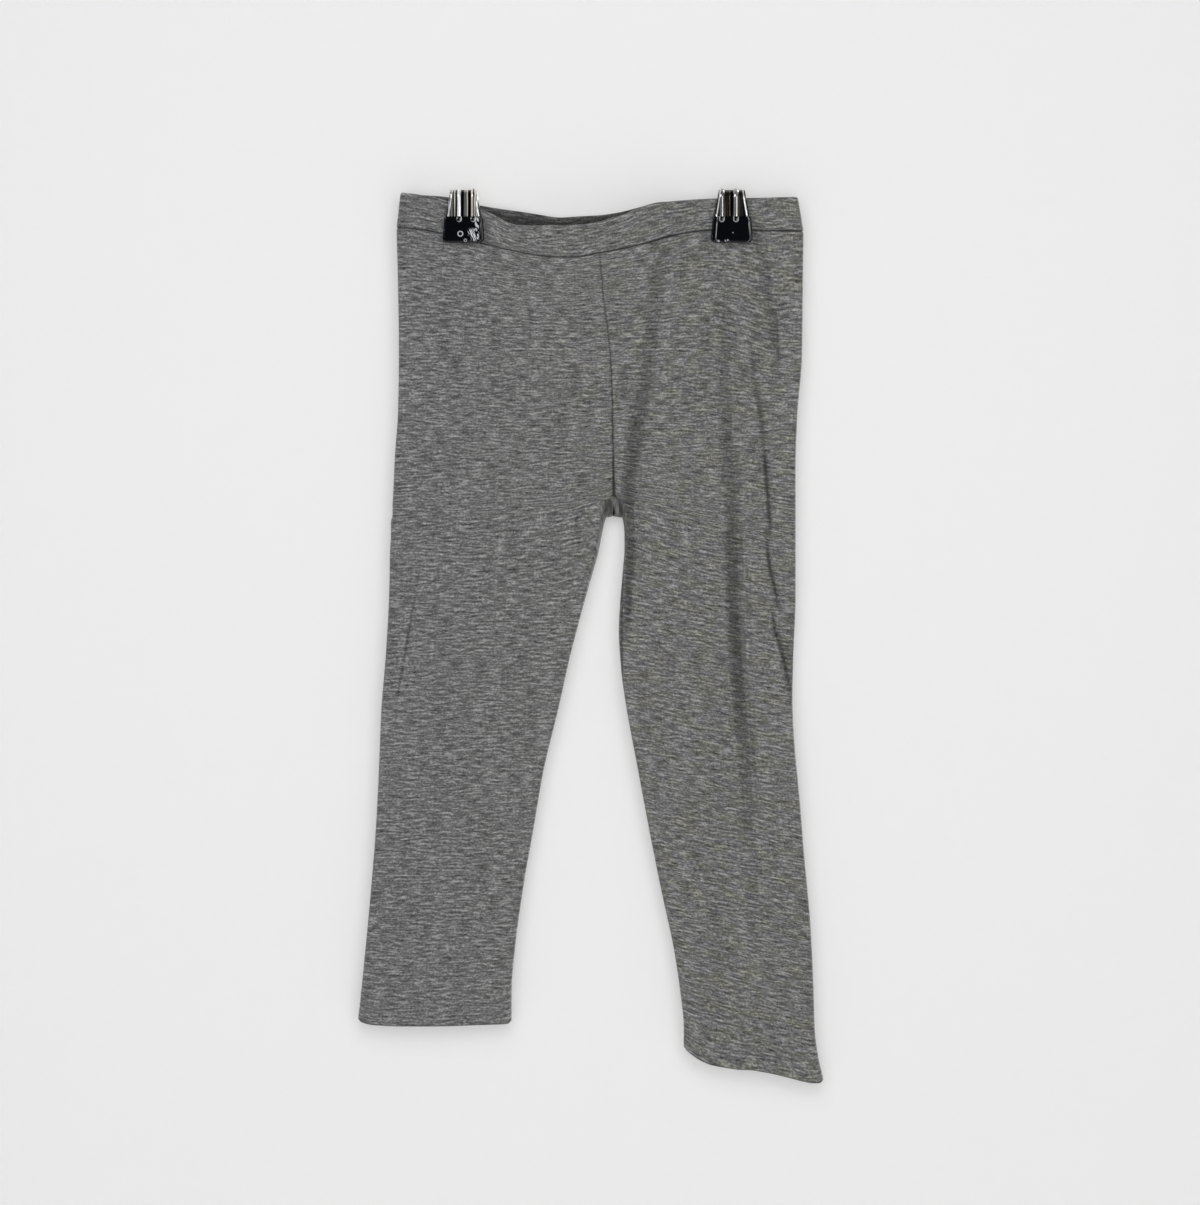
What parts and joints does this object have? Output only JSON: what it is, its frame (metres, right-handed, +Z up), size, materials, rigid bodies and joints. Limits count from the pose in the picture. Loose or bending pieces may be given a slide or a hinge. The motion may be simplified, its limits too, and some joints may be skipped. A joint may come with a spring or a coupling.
{
  "type": "leggings on hanger clips",
  "caption": "Child's straight-leg jersey leggings with an elastic waistband, held flat at the waist by steel spring clips with dipped tips.",
  "frame": {"origin": "midway between the two clips, on the axis of the hanger rod that passes through the eye of each clip", "axes": "+Z up along the hanging leggings, front of the garment faces -Y, +X towards the wearer's left leg, along the rod"},
  "size_m": [0.291, 0.0183, 0.5585],
  "materials": {
    "jersey": "matt heather grey single jersey with short light and dark streaks along its courses",
    "clip_steel": "bright plated spring steel",
    "clip_tip": "glossy black dipped vinyl"
  },
  "bodies": {
    "root": {"waistband": "jersey", "leg_panel_right": "jersey", "leg_panel_left": "jersey", "clip_right_spring": "clip_steel", "clip_right_tip_front": "clip_tip", "clip_right_tip_back": "clip_tip", "clip_left_spring": "clip_steel", "clip_left_tip_front": "clip_tip", "clip_left_tip_back": "clip_tip"}
  },
  "joints": []
}
